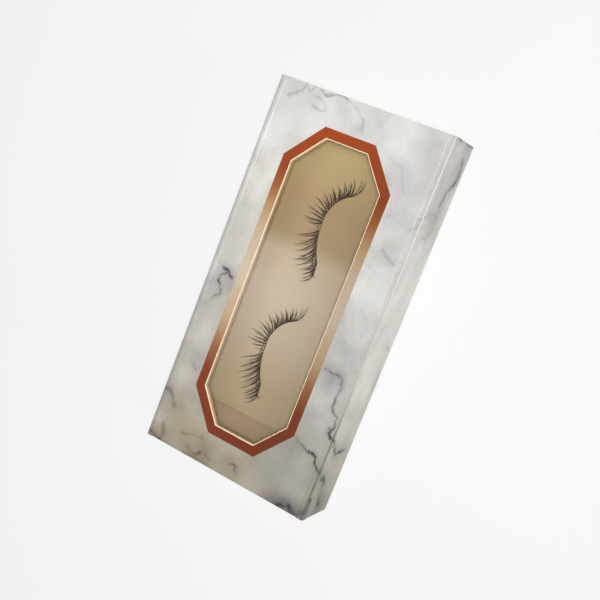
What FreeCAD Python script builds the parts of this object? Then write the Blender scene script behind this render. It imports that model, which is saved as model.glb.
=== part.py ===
"""False eyelash case: a book-style board box with a window lid, a magnetic flap and a pair of strip lashes.

The case lies on its back. X runs along the case, the flap is at -Y, the spine is at +Y and
the window faces +Z. The origin is at the centre of the underside. All lengths are in millimetres.
"""
import FreeCAD, Part
import math
import os

# Overall size of the closed case
case_length = 110.0
case_width = 54.0
case_thickness = 17.0

# Sheet stock
board = 1.5
tray_board = 1.2
paper = 0.2
window_film = 0.2
foil = 0.08
card = 0.4
tray_sheet = 0.35
stay_tape = 0.15

# Window in the lid and the foil border round it
window_length = 85.6
window_width = 27.6
window_corner_along = 8.9
window_corner_across = 7.4
window_shift = 0.9
border_width = 3.0
liner_setback = 1.0

# Paper creases that the lid and the flap turn on
crease_radius = 0.8
crease_gap = 1.0
crease_tail = 0.3

# Cover: turned-in paper, overhang past the tray and running gaps
turn_in = 8.0
flap_turn_in = 3.0
cover_overhang = 1.2
lip_gap = 0.1
flap_lift = 0.5
flap_top_gap = 0.3
closing_gap = 0.3
lid_rest_gap = 0.2
sheet_edge_gap = 0.1

# Paper tape that ties the tray walls together at the corners
stay_leg = 9.0

# Closure magnets
magnet_radius = 4.0
magnet_thickness = 1.0
magnet_pocket_gap = 0.05
magnet_spacing = 64.0
magnet_height = 8.0

# Folded card platform in the tray
platform_height = 5.7
platform_fold_radius = 0.5
platform_corner_gap = 0.3

# Clear tray that carries the lashes
tray_edge_gap = 0.3
tray_end_rim = 13.1
tray_side_rim = 3.35
plateau_height = 0.9
plateau_corner = 5.0
plateau_draft = 0.8
plateau_edge_radius = 0.5
ridge_width = 2.6
ridge_height = 0.5
ridge_edge_radius = 0.45
level_tolerance = 0.001

# Strip lashes: a thread band of two tangent arcs and curled hair tufts on it
lash_inner_radius = 30.0
lash_inner_angle = 29.5
lash_outer_radius = 10.0
lash_outer_angle = 60.0
lash_band_width = 0.9
lash_band_height = 0.5
lash_seats = {"right_lash": (21.9, 2.4), "left_lash": (-16.4, 4.9)}
tuft_count = 30
tuft_root_radius = 0.24
tuft_reach = 4.6
tuft_rise = 3.2
tuft_length_steps = (1.0, 0.72, 0.9, 0.62)
tuft_stops = (0.0, 0.3, 0.6, 0.85, 1.0)
tuft_curl = 1.4
tuft_slowing = 0.15
tuft_fan_middle = 21.0
tuft_fan_spread = 79.0
tuft_fan_rate = 5.5
tuft_fan_centre = 0.64

# Levels and faces that follow from the sizes above
half_length = case_length / 2
half_width = case_width / 2
board_end_x = half_length - paper
axis_y = half_width - crease_radius
axis_z = case_thickness - crease_radius

lid_edge_y = axis_y - crease_gap
lid_board_top = case_thickness - paper
lid_board_bottom = lid_board_top - board
lid_liner_top = lid_board_bottom - max(window_film, paper)
lid_liner_bottom = lid_liner_top - paper

flap_board_outer_y = -half_width + paper
flap_board_inner_y = flap_board_outer_y + board
flap_inner_y = flap_board_inner_y + paper
upright_top = lid_liner_bottom - flap_top_gap
flap_board_bottom = flap_lift + paper

spine_board_outer_y = half_width - paper
spine_board_inner_y = spine_board_outer_y - board

tray_bottom = paper + board
tray_front_y = flap_inner_y + closing_gap
tray_rear_y = spine_board_inner_y
tray_end_x = half_length - cover_overhang
wall_top = lid_liner_bottom - lid_rest_gap - paper
wall_front_y = tray_front_y + paper
wall_rear_y = tray_rear_y - paper
wall_end_x = tray_end_x - paper
floor_front_y = wall_front_y + tray_board
floor_rear_y = wall_rear_y - tray_board
floor_end_x = wall_end_x - tray_board
floor_top = tray_bottom + tray_board
cavity_front_y = floor_front_y + paper
cavity_rear_y = floor_rear_y - paper
cavity_end_x = floor_end_x - paper

back_rear_y = tray_rear_y - paper - lip_gap
card_top = floor_top + platform_height
insert_end_x = cavity_end_x - tray_edge_gap
insert_front_y = cavity_front_y + tray_edge_gap
insert_rear_y = cavity_rear_y - tray_edge_gap
plateau_top = card_top + plateau_height
ridge_top = plateau_top + ridge_height
lash_band_top = ridge_top + lash_band_height


def box(x0, x1, y0, y1, z0, z1):
    """Block between two corners."""
    return Part.makeBox(x1 - x0, y1 - y0, z1 - z0, FreeCAD.Vector(x0, y0, z0))


def both_ends(shape):
    """A piece at the +X end together with its mirror image at the -X end."""
    return [shape, shape.mirror(FreeCAD.Vector(), FreeCAD.Vector(1, 0, 0))]


def joined(first, others):
    """One solid out of pieces that share faces."""
    return first.fuse(others).removeSplitter()


def profile_along_case(edges):
    """Solid of full case length whose cross-section in the YZ plane is a closed run of edges."""
    face = Part.Face(Part.Wire(edges))
    return face.extrude(FreeCAD.Vector(case_length, 0, 0))


def line(start, end):
    """Straight edge of a cross-section, between two (y, z) points at the -X end."""
    return Part.makeLine(FreeCAD.Vector(-half_length, *start), FreeCAD.Vector(-half_length, *end))


def quarter_bend(centre, radius, start_angle):
    """Quarter-circle edge of a cross-section, counter-clockwise from start_angle degrees about centre."""
    points = []
    for turn in (0, 45, 90):
        angle = math.radians(start_angle + turn)
        y = centre[0] + radius * math.cos(angle)
        z = centre[1] + radius * math.sin(angle)
        points.append(FreeCAD.Vector(-half_length, y, z))
    return Part.Arc(*points).toShape()


def octagon(grow):
    """Flat window outline at the lid's outer face, offset outwards by grow."""
    x = window_length / 2
    y = window_width / 2
    corner_x = x - window_corner_along
    corner_y = y - window_corner_across
    corners = [(corner_x, y), (x, corner_y), (x, -corner_y), (corner_x, -y)]
    corners += [(-a, -b) for a, b in corners]
    points = [FreeCAD.Vector(a, b + window_shift, case_thickness) for a, b in corners]
    outline = Part.makePolygon(points + points[:1])
    if grow > 0:
        outline = outline.makeOffset2D(grow, join=2)
    return Part.Face(outline)


def window_cutter(grow):
    """Prism of the window outline down through the lid."""
    return octagon(grow).extrude(FreeCAD.Vector(0, 0, lid_liner_bottom - case_thickness - board))


def rounded_rectangle(length, width, corner, centre_y, z):
    """Closed wire of a rectangle with round corners."""
    x = length / 2
    y = width / 2
    outline = []
    for side_x, side_y, start in ((1, 1, 0), (-1, 1, 90), (-1, -1, 180), (1, -1, 270)):
        middle = FreeCAD.Vector(side_x * (x - corner), centre_y + side_y * (y - corner), z)
        outline.append(Part.makeCircle(corner, middle, FreeCAD.Vector(0, 0, 1), start, start + 90))
    edges = []
    for bend, following in zip(outline, outline[1:] + outline[:1]):
        edges.append(bend)
        edges.append(Part.makeLine(bend.Vertexes[-1].Point, following.Vertexes[0].Point))
    return Part.Wire(Part.__sortEdges__(edges))


# Lash path


def lash_point(place, share, side):
    """Point (x, y) at a share of a lash path's length from its inner end, moved outwards by side."""
    inner_arc = lash_inner_radius * math.radians(lash_inner_angle)
    outer_arc = lash_outer_radius * math.radians(lash_outer_angle)
    run = share * (inner_arc + outer_arc) - inner_arc
    radius = lash_inner_radius if run < 0 else lash_outer_radius
    heading = run / radius
    x = place[0] + (radius + side) * math.sin(heading)
    y = place[1] - radius + (radius + side) * math.cos(heading)
    return x, y


def lash_strip(place, width, bottom, top, round_ends=False):
    """Upright strip of constant width along a lash path, with square or round ends."""
    inner_share = lash_inner_radius * math.radians(lash_inner_angle)
    inner_share /= inner_share + lash_outer_radius * math.radians(lash_outer_angle)
    inner_stops = (0.0, inner_share / 2, inner_share)
    outer_stops = (inner_share, (1 + inner_share) / 2, 1.0)

    def arc(stops, side):
        points = [FreeCAD.Vector(*lash_point(place, share, side), bottom) for share in stops]
        return Part.Arc(*points).toShape()

    outside = [arc(inner_stops, width / 2), arc(outer_stops, width / 2)]
    inside = [arc(inner_stops, -width / 2), arc(outer_stops, -width / 2)]
    ends = []
    for share, inwards in ((0.0, 1), (1.0, -1)):
        start = FreeCAD.Vector(*lash_point(place, share, width / 2), bottom)
        end = FreeCAD.Vector(*lash_point(place, share, -width / 2), bottom)
        if round_ends:
            across = end - start
            bulge = FreeCAD.Vector(across.y, -across.x, 0) * (inwards / 2)
            ends.append(Part.Arc(start, (start + end) / 2 + bulge, end).toShape())
        else:
            ends.append(Part.makeLine(start, end))
    outline = Part.Wire(Part.__sortEdges__(outside + inside + ends))
    return Part.Face(outline).extrude(FreeCAD.Vector(0, 0, top - bottom))


def lash_tuft(place, index):
    """One tapered tuft of hairs that leaves the band level and curls upwards to a point."""
    share = (index + 0.5) / tuft_count
    root_x, root_y = lash_point(place, share, 0.0)
    fan = math.tanh(tuft_fan_rate * (share - tuft_fan_centre))
    heading = math.radians(tuft_fan_middle + tuft_fan_spread * fan)
    length = tuft_length_steps[index % len(tuft_length_steps)]
    rings = []
    for along in tuft_stops:
        reach = tuft_reach * length * along * (1 + tuft_slowing * (1 - along))
        x = root_x + reach * math.sin(heading)
        y = root_y + reach * math.cos(heading)
        z = lash_band_top + tuft_rise * length * along ** tuft_curl
        radius = tuft_root_radius * (1 - along)
        turns = [heading + math.radians(120 * k) for k in range(3)]
        rings.append([FreeCAD.Vector(x + radius * math.sin(a), y + radius * math.cos(a), z) for a in turns])
    tip = rings.pop()[0]
    faces = [Part.Face(Part.makePolygon(rings[0] + rings[0][:1]))]
    for lower, upper in zip(rings, rings[1:]):
        for k in range(3):
            after = (k + 1) % 3
            corners = [lower[k], lower[after], upper[after], upper[k], lower[k]]
            faces.append(Part.Face(Part.makePolygon(corners)))
    last = rings[-1]
    for k in range(3):
        faces.append(Part.Face(Part.makePolygon([last[k], last[(k + 1) % 3], tip, last[k]])))
    return Part.Solid(Part.Shell(faces))


# Cover boards


def back_board():
    """Board under the tray."""
    return box(-board_end_x, board_end_x, wall_front_y, back_rear_y, paper, tray_bottom)


def spine_board():
    """Upright board glued to the tray's rear wall."""
    return box(-board_end_x, board_end_x, spine_board_inner_y, spine_board_outer_y, tray_bottom, upright_top)


def lid_board():
    """Window board."""
    panel = box(-board_end_x, board_end_x, -lid_edge_y, lid_edge_y, lid_board_bottom, lid_board_top)
    return panel.cut(window_cutter(0))


def flap_board():
    """Closing flap with two blind pockets for magnets in its inner face."""
    outer_y = flap_board_outer_y
    panel = box(-board_end_x, board_end_x, outer_y, flap_board_inner_y, flap_board_bottom, upright_top)
    return panel.cut(magnet_discs(flap_board_inner_y, -1, magnet_pocket_gap))


# Magnets


def magnet_discs(face_y, inwards, grow):
    """Two discs let into a face at face_y, towards inwards along Y, with their radius grown."""
    discs = []
    for x in (-magnet_spacing / 2, magnet_spacing / 2):
        centre = FreeCAD.Vector(x, face_y, magnet_height)
        direction = FreeCAD.Vector(0, inwards, 0)
        discs.append(Part.makeCylinder(magnet_radius + grow, magnet_thickness, centre, direction))
    return Part.makeCompound(discs)


# Printed paper over the cover


def back_wrap():
    """Paper over the underside, turned up round the front edge and both ends of the back board."""
    sheet = box(-half_length, half_length, tray_front_y, axis_y, 0, paper)
    front = box(-half_length, half_length, tray_front_y, wall_front_y, paper, tray_bottom)
    end = box(board_end_x, half_length, wall_front_y, back_rear_y, paper, tray_bottom)
    lip = box(tray_end_x + lip_gap, half_length, tray_front_y, back_rear_y, tray_bottom, tray_bottom + paper)
    return joined(sheet, [front] + both_ends(end) + both_ends(lip))


def spine_wrap():
    """Paper over the spine, bent into the underside and into the crease that the lid turns on."""
    low = (axis_y, crease_radius)
    high = (axis_y, axis_z)
    inner = crease_radius - paper
    tail_y = axis_y - crease_tail
    edges = [
        quarter_bend(low, crease_radius, 270),
        line((half_width, crease_radius), (half_width, axis_z)),
        quarter_bend(high, crease_radius, 0),
        line((axis_y, case_thickness), (tail_y, case_thickness)),
        line((tail_y, case_thickness), (tail_y, lid_board_top)),
        line((tail_y, lid_board_top), (axis_y, lid_board_top)),
        quarter_bend(high, inner, 0),
        line((spine_board_outer_y, axis_z), (spine_board_outer_y, crease_radius)),
        quarter_bend(low, inner, 270),
        line((axis_y, paper), (axis_y, 0)),
    ]
    sheet = profile_along_case(edges)
    end = box(board_end_x, half_length, spine_board_inner_y, spine_board_outer_y, tray_bottom, upright_top)
    lip_y = spine_board_inner_y - paper
    lip = box(tray_end_x + lip_gap, half_length, lip_y, spine_board_inner_y, tray_bottom, upright_top)
    return joined(sheet, both_ends(end) + both_ends(lip))


def lid_wrap():
    """Paper over the lid, turned in round both ends, cut out at the window and pressed in under the foil."""
    sheet = box(-half_length, half_length, -lid_edge_y, lid_edge_y, lid_board_top, case_thickness)
    end = box(board_end_x, half_length, -lid_edge_y, lid_edge_y, lid_board_bottom, lid_board_top)
    inner_x = half_length - turn_in
    strip = box(inner_x, half_length, -lid_edge_y, lid_edge_y, lid_board_bottom - paper, lid_board_bottom)
    wrap = joined(sheet, both_ends(end) + both_ends(strip))
    return wrap.cut(window_cutter(0)).cut(foil_border())


def flap_wrap():
    """Paper over the flap, bent into the crease at its top and turned in round its other edges."""
    high = (-axis_y, axis_z)
    tail_y = -axis_y + crease_tail
    strip_top = flap_board_bottom + flap_turn_in
    edges = [
        line((-half_width, flap_lift), (-half_width, axis_z)),
        quarter_bend(high, crease_radius, 90),
        line((-axis_y, case_thickness), (tail_y, case_thickness)),
        line((tail_y, case_thickness), (tail_y, lid_board_top)),
        line((tail_y, lid_board_top), (-axis_y, lid_board_top)),
        quarter_bend(high, crease_radius - paper, 90),
        line((flap_board_outer_y, axis_z), (flap_board_outer_y, flap_board_bottom)),
        line((flap_board_outer_y, flap_board_bottom), (flap_board_inner_y, flap_board_bottom)),
        line((flap_board_inner_y, flap_board_bottom), (flap_board_inner_y, strip_top)),
        line((flap_board_inner_y, strip_top), (flap_inner_y, strip_top)),
        line((flap_inner_y, strip_top), (flap_inner_y, flap_lift)),
        line((flap_inner_y, flap_lift), (-half_width, flap_lift)),
    ]
    sheet = profile_along_case(edges)
    outer_y = flap_board_outer_y
    end = box(board_end_x, half_length, outer_y, flap_board_inner_y, flap_board_bottom, upright_top)
    inner_x = half_length - flap_turn_in
    strip = box(inner_x, half_length, flap_board_inner_y, flap_inner_y, strip_top, upright_top)
    return joined(sheet, both_ends(end) + both_ends(strip))


def foil_border():
    """Stamped metal foil, flush with the printed paper round the window."""
    ring = octagon(border_width).cut(octagon(0))
    return ring.extrude(FreeCAD.Vector(0, 0, -foil))


# Lid and flap linings


def window_pane():
    """Clear film glued under the window board, between the turned-in strips."""
    x = half_length - turn_in - sheet_edge_gap
    return box(-x, x, -lid_edge_y, lid_edge_y, lid_board_bottom - window_film, lid_board_bottom)


def lid_liner():
    """Paper that covers the pane's edges and the turned-in strips."""
    x = board_end_x - liner_setback
    y = lid_edge_y - liner_setback
    return box(-x, x, -y, y, lid_liner_bottom, lid_liner_top).cut(window_cutter(liner_setback))


def flap_liner():
    """Paper over the flap's inner face and its magnets, inside the turned-in strips."""
    x = half_length - flap_turn_in - sheet_edge_gap
    bottom = flap_board_bottom + flap_turn_in + sheet_edge_gap
    return box(-x, x, flap_board_inner_y, flap_inner_y, bottom, upright_top)


# Tray of board walls


def tray_floor():
    """Board between the tray walls."""
    return box(-floor_end_x, floor_end_x, floor_front_y, floor_rear_y, tray_bottom, floor_top)


def corner_stays():
    """Paper tape pressed flush into the outside of each tray corner, under the wrap."""
    around = box(-wall_end_x, wall_end_x, wall_front_y, wall_rear_y, tray_bottom, wall_top)
    skin_x = wall_end_x - stay_tape
    core = box(-skin_x, skin_x, wall_front_y + stay_tape, wall_rear_y - stay_tape, tray_bottom, wall_top)
    middle_x = wall_end_x - stay_leg
    long_side = box(-middle_x, middle_x, wall_front_y, wall_rear_y, tray_bottom, wall_top)
    middle_front_y = wall_front_y + stay_leg
    middle_rear_y = wall_rear_y - stay_leg
    short_side = box(-wall_end_x, wall_end_x, middle_front_y, middle_rear_y, tray_bottom, wall_top)
    return around.cut([core, long_side, short_side])


def front_wall():
    """Tray wall behind the flap, with two blind pockets for magnets in its outer face."""
    wall = box(-wall_end_x, wall_end_x, wall_front_y, floor_front_y, tray_bottom, wall_top)
    return wall.cut([corner_stays(), magnet_discs(wall_front_y, 1, magnet_pocket_gap)])


def rear_wall():
    """Tray wall against the spine."""
    wall = box(-wall_end_x, wall_end_x, floor_rear_y, wall_rear_y, tray_bottom, wall_top)
    return wall.cut(corner_stays())


def right_end_wall():
    """Tray wall at the +X end, between the long walls."""
    wall = box(floor_end_x, wall_end_x, floor_front_y, floor_rear_y, tray_bottom, wall_top)
    return wall.cut(corner_stays())


def tray_wrap():
    """Paper over the outside, top edges and inside of the tray walls."""
    outside = box(-tray_end_x, tray_end_x, tray_front_y, tray_rear_y, tray_bottom, wall_top + paper)
    walls = box(-wall_end_x, wall_end_x, wall_front_y, wall_rear_y, tray_bottom, wall_top)
    inside = box(-floor_end_x, floor_end_x, floor_front_y, floor_rear_y, floor_top, wall_top)
    cavity = box(-cavity_end_x, cavity_end_x, cavity_front_y, cavity_rear_y, floor_top, wall_top + paper)
    return outside.cut(walls).fuse(inside).cut(cavity).removeSplitter()


# Insert


def rounded_top(solid, top, radius):
    """A solid with the edges of its top face rounded."""
    edges = [edge for edge in solid.Edges if edge.BoundBox.ZMin > top - level_tolerance]
    return solid.makeFillet(radius, edges)


def insert_card():
    """Metallic card platform: a flat top whose four flanges fold down to stand on the tray floor."""
    outside = box(-insert_end_x, insert_end_x, insert_front_y, insert_rear_y, floor_top, card_top)
    under_x = insert_end_x - card
    under_front_y = insert_front_y + card
    under_rear_y = insert_rear_y - card
    under_top = card_top - card
    under = box(-under_x, under_x, under_front_y, under_rear_y, floor_top, under_top)
    folded = rounded_top(outside, card_top, platform_fold_radius)
    folded = folded.cut(rounded_top(under, under_top, platform_fold_radius - card))
    notch = card + platform_corner_gap
    notch_x = insert_end_x - notch
    notch_top = card_top - platform_fold_radius
    front = box(notch_x, insert_end_x, insert_front_y, insert_front_y + notch, floor_top, notch_top)
    rear = box(notch_x, insert_end_x, insert_rear_y - notch, insert_rear_y, floor_top, notch_top)
    return folded.cut(both_ends(front) + both_ends(rear))


def plateau(inset, top):
    """Raised middle of the clear tray with sloped sides, drawn in by inset."""
    centre_y = (insert_front_y + insert_rear_y) / 2
    outlines = []
    for shrink, z in ((inset, card_top), (inset + plateau_draft, top)):
        length = 2 * (insert_end_x - tray_end_rim - shrink)
        width = insert_rear_y - insert_front_y - 2 * (tray_side_rim + shrink)
        outlines.append(rounded_rectangle(length, width, plateau_corner - shrink, centre_y, z))
    return Part.makeLoft(outlines, True, True)


def ridge(place, inset, bottom):
    """Curved ridge under a lash with round ends, drawn in by inset."""
    return lash_strip(place, ridge_width - 2 * inset, bottom, ridge_top - inset, round_ends=True)


def lash_tray():
    """Thin clear tray: a flange on the card, a raised plateau and a curved ridge under each lash."""
    flange = box(-insert_end_x, insert_end_x, insert_front_y, insert_rear_y, card_top, card_top + tray_sheet)
    outside = flange.fuse(rounded_top(plateau(0, plateau_top), plateau_top, plateau_edge_radius))
    hollow_top = plateau_top - tray_sheet
    hollow = plateau(tray_sheet, hollow_top)
    for place in lash_seats.values():
        outside = outside.fuse(rounded_top(ridge(place, 0, hollow_top), ridge_top, ridge_edge_radius))
        hollow = hollow.fuse(ridge(place, tray_sheet, hollow_top - tray_sheet))
    return outside.cut(hollow).removeSplitter()


# Write every piece

pieces = {
    "back_board": back_board(),
    "spine_board": spine_board(),
    "lid_board": lid_board(),
    "flap_board": flap_board(),
    "back_wrap": back_wrap(),
    "spine_wrap": spine_wrap(),
    "lid_wrap": lid_wrap(),
    "flap_wrap": flap_wrap(),
    "foil_border": foil_border(),
    "window_pane": window_pane(),
    "lid_liner": lid_liner(),
    "flap_liner": flap_liner(),
    "tray_floor": tray_floor(),
    "front_wall": front_wall(),
    "rear_wall": rear_wall(),
    "corner_stays": corner_stays(),
    "tray_wrap": tray_wrap(),
    "wall_magnets": magnet_discs(wall_front_y, 1, 0),
    "flap_magnets": magnet_discs(flap_board_inner_y, -1, 0),
    "insert_card": insert_card(),
    "lash_tray": lash_tray(),
}
pieces["right_end_wall"], pieces["left_end_wall"] = both_ends(right_end_wall())
for lash, seat in lash_seats.items():
    pieces[lash + "_band"] = lash_strip(seat, lash_band_width, ridge_top, lash_band_top)
    pieces[lash + "_hairs"] = Part.makeCompound([lash_tuft(seat, index) for index in range(tuft_count)])

os.makedirs("parts", exist_ok=True)
for name, shape in pieces.items():
    shape.exportStep("parts/" + name + ".step")
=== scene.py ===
"""Looks of the false eyelash case: marble paper, foil border, clear film, strip lashes, light and camera.

Lengths are millimetres in the case's own frame and become metres where a mesh or lamp is made.
Colours are written as 8-bit display values.
"""
import math
import random

import bmesh
import bpy
import numpy as np
from mathutils import Matrix, Vector


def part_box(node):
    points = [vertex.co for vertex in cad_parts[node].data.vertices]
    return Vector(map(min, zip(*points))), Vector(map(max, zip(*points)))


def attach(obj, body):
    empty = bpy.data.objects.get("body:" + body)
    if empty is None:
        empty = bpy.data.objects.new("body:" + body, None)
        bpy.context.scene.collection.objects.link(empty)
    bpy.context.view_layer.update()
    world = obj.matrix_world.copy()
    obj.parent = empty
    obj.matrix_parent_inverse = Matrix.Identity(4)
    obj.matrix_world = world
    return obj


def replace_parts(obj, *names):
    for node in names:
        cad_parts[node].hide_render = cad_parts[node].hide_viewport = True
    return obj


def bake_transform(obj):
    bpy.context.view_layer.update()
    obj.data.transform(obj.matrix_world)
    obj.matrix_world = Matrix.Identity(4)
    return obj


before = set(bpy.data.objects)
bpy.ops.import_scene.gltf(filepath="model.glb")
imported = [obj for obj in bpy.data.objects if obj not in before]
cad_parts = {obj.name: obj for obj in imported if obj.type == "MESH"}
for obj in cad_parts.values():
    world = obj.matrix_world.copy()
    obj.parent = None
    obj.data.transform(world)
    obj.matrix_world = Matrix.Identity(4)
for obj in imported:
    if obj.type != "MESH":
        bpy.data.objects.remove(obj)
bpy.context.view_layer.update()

MM = 0.001


def node_box(node):
    """Lowest and highest corner of a frame node, in millimetres."""
    low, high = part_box(node)
    return np.array(low) / MM, np.array(high) / MM


# Sizes read from the frame

lid_low, lid_high = node_box("lid_wrap")
flap_low, flap_high = node_box("flap_wrap")
spine_high = node_box("spine_wrap")[1]
back_low, back_high = node_box("back_wrap")
foil_low, foil_high = node_box("foil_border")
pane_top = node_box("window_pane")[1][2]
liner_high = node_box("lid_liner")[1]
tray_low, tray_high = node_box("tray_wrap")
flap_board_top = node_box("flap_board")[1][2]
spine_board_top = node_box("spine_board")[1][2]
lid_board_top = node_box("lid_board")[1][2]
ridge_top = node_box("right_lash_band")[0][2]

case_end = lid_high[0]
case_top = lid_high[2]
case_front = flap_low[1]
case_rear = spine_high[1]
window_centre_y = (foil_low[1] + foil_high[1]) / 2
lid_edge = lid_high[1]

# Sizes that the frame's boxes don't give

paper = 0.2
paper_edge = 0.35
paper_turn = 0.5
crease_radius = 0.8
crease_dip = 0.07
skin_clearance = 0.04
border_width = 3.0
window_corner_along = 8.9
window_corner_across = 7.4
card = 0.4
card_fold = 0.5
card_cell = 2.0
fine_cell = 0.27
coarse_cell = 0.6

lash_inner_radius = 30.0
lash_inner_angle = math.radians(29.5)
lash_outer_radius = 10.0
lash_outer_angle = math.radians(60)
lash_seats = {"right_lash": (21.9, 2.4), "left_lash": (-16.4, 4.9)}

# Camera at the photograph's viewing angle

camera_eye = Vector((37.4, -100.9, 254.2))
camera_target = Vector((-0.2, -2.8, 17.0))
camera_up = Vector((0.921, 0.389, 0.015))
camera_lens = 57.2
camera_sensor = 36
# Nearest and farthest view, in metres
camera_clip = (0.01, 20)


def linear(colour):
    """Linear red, green and blue from 8-bit display values."""
    shares = np.asarray(colour, float) / 255
    return np.where(shares <= 0.04045, shares / 12.92, ((shares + 0.055) / 1.055) ** 2.4)


def rgba(colour):
    """A shader colour from 8-bit display values."""
    return (*linear(colour), 1.0)


# Marble print

# Noise: lattice points before it repeats, its turn per seed in radians, octaves of a cloud
lattice = 61
seed_turn = 0.7
octaves = 4


def sheet_noise(u, s, cell, seed):
    """Smooth noise from 0 to 1 at points of the printed sheet, with features about one cell wide."""
    grid = np.random.RandomState(seed).rand(lattice, lattice)
    turn = seed * seed_turn
    a = (u * math.cos(turn) - s * math.sin(turn)) / cell
    b = (u * math.sin(turn) + s * math.cos(turn)) / cell
    i = np.floor(a).astype(int)
    j = np.floor(b).astype(int)
    f = (a - i) ** 2 * (3 - 2 * (a - i))
    g = (b - j) ** 2 * (3 - 2 * (b - j))
    i, j = i % lattice, j % lattice
    i1, j1 = (i + 1) % lattice, (j + 1) % lattice
    near = grid[i, j] * (1 - f) + grid[i1, j] * f
    far = grid[i, j1] * (1 - f) + grid[i1, j1] * f
    return near * (1 - g) + far * g


def cloud_noise(u, s, cell, seed):
    """Octaves of sheet noise added up, centred on 0 and about 1 wide."""
    total = 0
    for octave in range(octaves):
        total = total + (sheet_noise(u, s, cell / 2 ** octave, seed + octave) - 0.5) / 2 ** octave
    return total


# Tints of the print, and of the wear and painted light at the folds
soot = (50, 48, 52)
plum = (62, 50, 64)
ink = (26, 24, 28)
slate = (146, 146, 148)
bare_paper = (226, 223, 216)
umber = (104, 80, 66)
wear_and_highlight = (242, 240, 235)

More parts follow.
